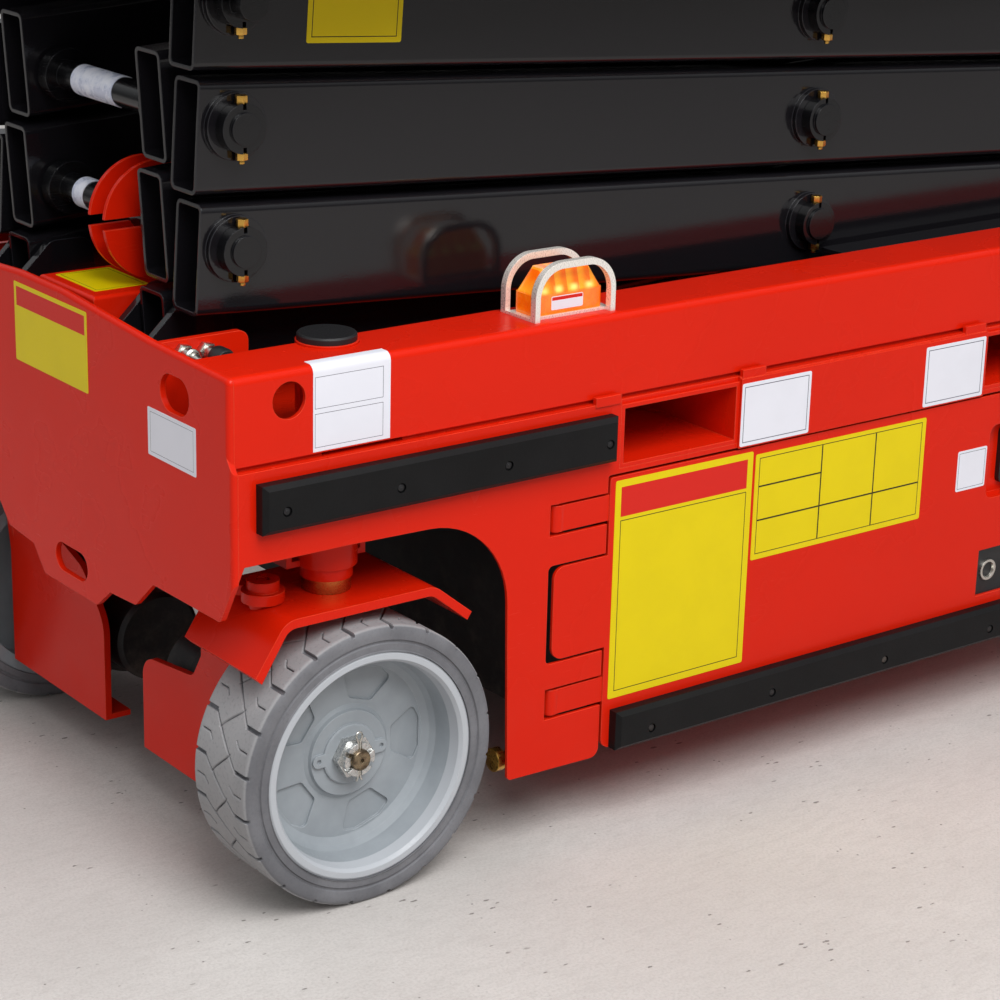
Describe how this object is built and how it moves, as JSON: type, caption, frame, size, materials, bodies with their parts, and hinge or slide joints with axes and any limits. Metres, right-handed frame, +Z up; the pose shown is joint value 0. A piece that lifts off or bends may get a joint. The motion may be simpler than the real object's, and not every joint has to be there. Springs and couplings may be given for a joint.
{
  "type": "scissor lift",
  "caption": "Self-propelled electric scissor lift with a guarded platform and sliding deck extension, folded, on small grey wheels with a steered front axle.",
  "frame": {"origin": "on the ground, midway along and across the machine", "axes": "+X forward to the steered wheels, +Y to the machine's left, +Z up"},
  "size_m": [2.41, 1, 2.363],
  "materials": {
    "red_paint": "glossy red powder coat with light scuffs",
    "black_paint": "glossy black paint",
    "grey_paint": "light grey paint",
    "rim_paint": "light grey cast wheel paint",
    "tyre_grey": "grey non-marking rubber, scuffed",
    "bar_rubber": "matt black rubber",
    "steel": "ground steel, lightly oiled",
    "chrome": "plated rod",
    "bronze": "plain bronze",
    "floor_alu": "bare floor sheet",
    "amber": "clear amber lens",
    "black_plastic": "fine textured black plastic"
  },
  "bodies": {
    "chassis": {"chassis_rails": "red_paint", "front_plate": "red_paint", "rear_plate": "red_paint", "side_sheets": "red_paint", "fork_pockets": "red_paint", "deck_plate": "red_paint", "roller_channels": "black_paint", "frame_plates": "black_paint", "tunnel": "black_paint", "bulkheads": "black_paint", "front_axle_beam": "red_paint", "rear_axle": "black_paint", "upper_bars": "bar_rubber", "pivot_brackets": "black_paint", "beacon_lens": "amber", "beacon_base": "steel", "deck_box": "red_paint", "ladder": "black_paint", "hinge_pins": "red_paint", "kingpin_caps": "black_plastic", "kingpin_bushes": "bronze"},
    "door_left_body": {"door_left": "red_paint", "door_bar_left": "bar_rubber", "battery_pack": "black_plastic"},
    "door_right_body": {"door_right": "red_paint", "door_bar_right": "bar_rubber", "power_unit": "black_plastic"},
    "steer_left_body": {"knuckle_left": "red_paint", "drive_motor_left": "black_paint"},
    "steer_right_body": {"knuckle_right": "red_paint", "drive_motor_right": "black_paint"},
    "tie_rod_body": {"tie_rod": "red_paint"},
    "inner_1": {"inner_arm_1": "black_paint"},
    "inner_2": {"inner_arm_2": "black_paint"},
    "inner_3": {"inner_arm_3": "black_paint", "top_rollers": "steel"},
    "outer_1": {"outer_arm_1": "black_paint", "arm_pins_1": "black_paint", "hose_discs": "red_paint"},
    "outer_2": {"outer_arm_2": "black_paint", "arm_pins_2": "black_paint"},
    "outer_3": {"outer_arm_3": "black_paint", "arm_pins_3": "black_paint"},
    "barrel": {"lift_barrel": "black_paint"},
    "rod": {"lift_rod": "chrome"},
    "platform": {"platform_deck": "floor_alu", "platform_frame": "black_paint", "main_rails": "grey_paint"},
    "gate_body": {"gate": "grey_paint"},
    "extension": {"extension_deck": "floor_alu", "extension_rails": "grey_paint", "control_box": "black_plastic"},
    "wheel_front_left": {"tyre_front_left": "tyre_grey", "rim_front_left": "rim_paint"},
    "wheel_front_right": {"tyre_front_right": "tyre_grey", "rim_front_right": "rim_paint"},
    "wheel_rear_left": {"tyre_rear_left": "tyre_grey", "rim_rear_left": "rim_paint"},
    "wheel_rear_right": {"tyre_rear_right": "tyre_grey", "rim_rear_right": "rim_paint"}
  },
  "joints": [
    {"name": "steer_left", "type": "hinge", "parent": "chassis", "child": "steer_left_body", "pos_m": [1.009, 0.385, 0.42], "axis": [0, 0, 1], "range_deg": [-70, 70]},
    {"name": "steer_right", "type": "hinge", "parent": "chassis", "child": "steer_right_body", "pos_m": [1.009, -0.385, 0.42], "axis": [0, 0, 1], "range_deg": [-70, 70]},
    {"name": "tie_rod_pivot", "type": "hinge", "parent": "steer_left_body", "child": "tie_rod_body", "pos_m": [1.104, 0.385, 0.419], "axis": [0, 0, 1], "range_deg": [-70, 70]},
    {"name": "spin_front_left", "type": "hinge", "parent": "steer_left_body", "child": "wheel_front_left", "pos_m": [1, 0.4165, 0.1905], "axis": [0, 1, 0], "continuous": true},
    {"name": "spin_front_right", "type": "hinge", "parent": "steer_right_body", "child": "wheel_front_right", "pos_m": [1, -0.4165, 0.1905], "axis": [0, 1, 0], "continuous": true},
    {"name": "spin_rear_left", "type": "hinge", "parent": "chassis", "child": "wheel_rear_left", "pos_m": [-0.87, 0.4165, 0.1905], "axis": [0, 1, 0], "continuous": true},
    {"name": "spin_rear_right", "type": "hinge", "parent": "chassis", "child": "wheel_rear_right", "pos_m": [-0.87, -0.4165, 0.1905], "axis": [0, 1, 0], "continuous": true},
    {"name": "door_left_swing", "type": "hinge", "parent": "chassis", "child": "door_left_body", "pos_m": [0.704, 0.468, 0.35], "axis": [0, 0, 1], "range_deg": [-95, 0]},
    {"name": "door_right_swing", "type": "hinge", "parent": "chassis", "child": "door_right_body", "pos_m": [0.704, -0.468, 0.35], "axis": [0, 0, 1], "range_deg": [0, 95]},
    {"name": "fold", "type": "hinge", "parent": "chassis", "child": "inner_1", "pos_m": [1.086, 0, 0.692], "axis": [0, 1, 0], "range_deg": [0, 48]},
    {"name": "cross_1", "type": "hinge", "parent": "inner_1", "child": "outer_1", "pos_m": [0.11296, 0, 0.768], "axis": [0, 1, 0], "range_deg": [-96, 0]},
    {"name": "front_link_1", "type": "hinge", "parent": "outer_1", "child": "inner_2", "pos_m": [1.086, 0, 0.844], "axis": [0, 1, 0], "range_deg": [0, 96]},
    {"name": "cross_2", "type": "hinge", "parent": "inner_2", "child": "outer_2", "pos_m": [0.11296, 0, 0.92], "axis": [0, 1, 0], "range_deg": [-96, 0]},
    {"name": "front_link_2", "type": "hinge", "parent": "outer_2", "child": "inner_3", "pos_m": [1.086, 0, 0.996], "axis": [0, 1, 0], "range_deg": [0, 96]},
    {"name": "cross_3", "type": "hinge", "parent": "inner_3", "child": "outer_3", "pos_m": [0.11296, 0, 1.072], "axis": [0, 1, 0], "range_deg": [-96, 0]},
    {"name": "platform_level", "type": "hinge", "parent": "outer_3", "child": "platform", "pos_m": [1.086, 0, 1.148], "axis": [0, 1, 0], "range_deg": [0, 48]},
    {"name": "cylinder_swing", "type": "hinge", "parent": "inner_1", "child": "barrel", "pos_m": [-0.66219, 0, 0.78341], "axis": [0, 1, 0], "range_deg": [-95.38, 0]},
    {"name": "cylinder_stroke", "type": "slide", "parent": "barrel", "child": "rod", "axis": [0.9673, 0, 0.2537], "range_m": [0, 0.3704]},
    {"name": "extension_slide", "type": "slide", "parent": "platform", "child": "extension", "axis": [1, 0, 0], "range_m": [0, 0.9]},
    {"name": "gate_swing", "type": "hinge", "parent": "platform", "child": "gate_body", "pos_m": [-1.0675, 0.2675, 1.836], "axis": [0, 0, 1], "range_deg": [0, 90]}
  ],
  "couplings": [
    {"joint": "steer_right", "follows": "steer_left", "ratio": 1},
    {"joint": "tie_rod_pivot", "follows": "steer_left", "ratio": -1},
    {"joint": "cross_1", "follows": "fold", "ratio": -2},
    {"joint": "front_link_1", "follows": "fold", "ratio": 2},
    {"joint": "cross_2", "follows": "fold", "ratio": -2},
    {"joint": "front_link_2", "follows": "fold", "ratio": 2},
    {"joint": "cross_3", "follows": "fold", "ratio": -2},
    {"joint": "platform_level", "follows": "fold", "ratio": 1},
    {"joint": "cylinder_swing", "follows": "fold", "ratio": -1.986},
    {"joint": "cylinder_stroke", "follows": "fold", "m_per_rad": 0.44192}
  ]
}
